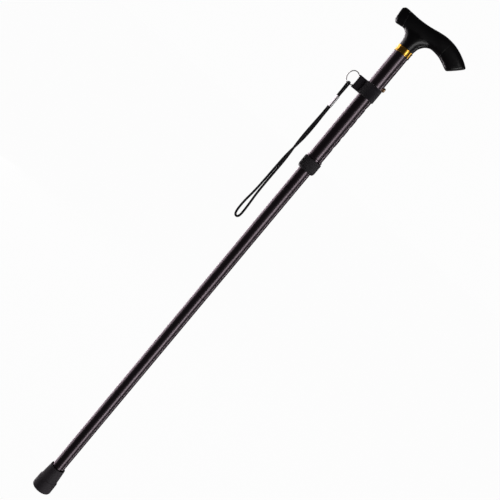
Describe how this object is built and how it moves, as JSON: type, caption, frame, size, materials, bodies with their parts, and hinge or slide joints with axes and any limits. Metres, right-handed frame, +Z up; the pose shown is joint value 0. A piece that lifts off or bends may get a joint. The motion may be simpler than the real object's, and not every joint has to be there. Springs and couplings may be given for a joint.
{
  "type": "single point cane",
  "caption": "Folding height-adjustable walking cane with a derby handle, snap button, twist-lock collar, wrist lanyard on a split ring and one rubber tip.",
  "frame": {"origin": "centre of the rubber tip's ground face", "axes": "+Z up along the shaft, +X towards the handle's nose, +Y to the left of a person who looks along +X"},
  "size_m": [0.1173, 0.03, 0.8532],
  "materials": {
    "handle_plastic": "satin moulded",
    "gold_ring": "polished gold colour",
    "black_tube": "satin black anodised",
    "steel": "plain steel",
    "nylon": "moulded nylon",
    "white_nylon": "natural nylon",
    "collar_plastic": "fine moulded texture",
    "webbing": "woven hook and loop webbing",
    "chrome_ring": "bright plated",
    "lanyard_cord": "braided cord",
    "crimp_metal": "bright",
    "shock_cord": "braided elastic cord",
    "button_brass": "satin",
    "rubber": "matte"
  },
  "bodies": {
    "upper": {"handle_body": "handle_plastic", "handle_nose_cap": "handle_plastic", "handle_tail_cap": "handle_plastic", "handle_pin": "steel", "collar_ring": "gold_ring", "upper_tube": "black_tube", "lock_collet": "nylon", "strap_band": "webbing"},
    "lock_collar": {"lock_collar": "collar_plastic"},
    "extension": {"extension_tube": "black_tube", "glide_bush": "white_nylon", "cord_anchor_top": "white_nylon", "cord_knot_top": "shock_cord", "shock_cord_top": "shock_cord", "button_spring": "steel"},
    "snap_button": {"snap_button": "button_brass"},
    "link_1": {"fold_sleeve_1": "black_tube", "sleeve_cord_1": "shock_cord"},
    "middle": {"middle_tube": "black_tube", "shock_cord_middle": "shock_cord"},
    "link_2": {"fold_sleeve_2": "black_tube", "sleeve_cord_2": "shock_cord"},
    "lower": {"lower_tube": "black_tube", "shock_cord_lower": "shock_cord"},
    "link_3": {"fold_sleeve_3": "black_tube", "sleeve_cord_3": "shock_cord"},
    "foot": {"foot_tube": "black_tube", "shock_cord_foot": "shock_cord", "cord_anchor_bottom": "white_nylon", "cord_knot_bottom": "shock_cord", "rubber_tip": "rubber", "tip_washer": "steel"},
    "split_ring": {"split_ring": "chrome_ring"},
    "lanyard": {"lanyard_loop": "lanyard_cord", "lanyard_crimp": "crimp_metal", "wrist_loop": "lanyard_cord"}
  },
  "joints": [
    {"name": "height_slide", "type": "slide", "parent": "upper", "child": "extension", "axis": [0, 0, -1], "range_m": [0, 0.10158], "deforming": ["strap_band"]},
    {"name": "button_press", "type": "slide", "parent": "extension", "child": "snap_button", "axis": [-1, 0, 0], "range_m": [0, 0.0054], "stiffness_N_per_m": 900, "springref_m": -0.004, "deforming": ["button_spring"]},
    {"name": "collar_turn", "type": "hinge", "parent": "upper", "child": "lock_collar", "pos_m": [0, 0, 0.5985], "axis": [0, 0, -1], "range_deg": [0, 180]},
    {"name": "pull_1", "type": "slide", "parent": "extension", "child": "link_1", "axis": [0, 0, -1], "range_m": [0, 0.03], "stiffness_N_per_m": 120, "springref_m": -0.15},
    {"name": "swing_1", "type": "hinge", "parent": "link_1", "child": "middle", "pos_m": [0.0135, 0, 0.56685], "axis": [0, -1, 0], "range_deg": [0, 180], "stiffness_Nm_per_rad": 0.06, "springref_deg": -85.94},
    {"name": "pull_2", "type": "slide", "parent": "middle", "child": "link_2", "axis": [0, 0, -1], "range_m": [0, 0.03], "stiffness_N_per_m": 120, "springref_m": -0.15},
    {"name": "swing_2", "type": "hinge", "parent": "link_2", "child": "lower", "pos_m": [-0.0103, 0, 0.37185], "axis": [0, 1, 0], "range_deg": [0, 180]},
    {"name": "pull_3", "type": "slide", "parent": "lower", "child": "link_3", "axis": [0, 0, -1], "range_m": [0, 0.03], "stiffness_N_per_m": 120, "springref_m": -0.15},
    {"name": "swing_3", "type": "hinge", "parent": "link_3", "child": "foot", "pos_m": [0.013, 0, 0.18785], "axis": [0, -1, 0], "range_deg": [0, 180]},
    {"name": "ring_swivel", "type": "hinge", "parent": "upper", "child": "split_ring", "pos_m": [-0.0221, 0, 0.7345], "axis": [0, 0, 1], "range_deg": [-100, 28]},
    {"name": "lanyard_swing", "type": "hinge", "parent": "split_ring", "child": "lanyard", "pos_m": [-0.03003, -0.00576, 0.7247], "axis": [-0.809, -0.5878, 0], "range_deg": [-75, 75]}
  ],
  "couplings": [
    {"joint": "swing_2", "follows": "swing_1", "ratio": 1},
    {"joint": "swing_3", "follows": "swing_1", "ratio": 1}
  ]
}
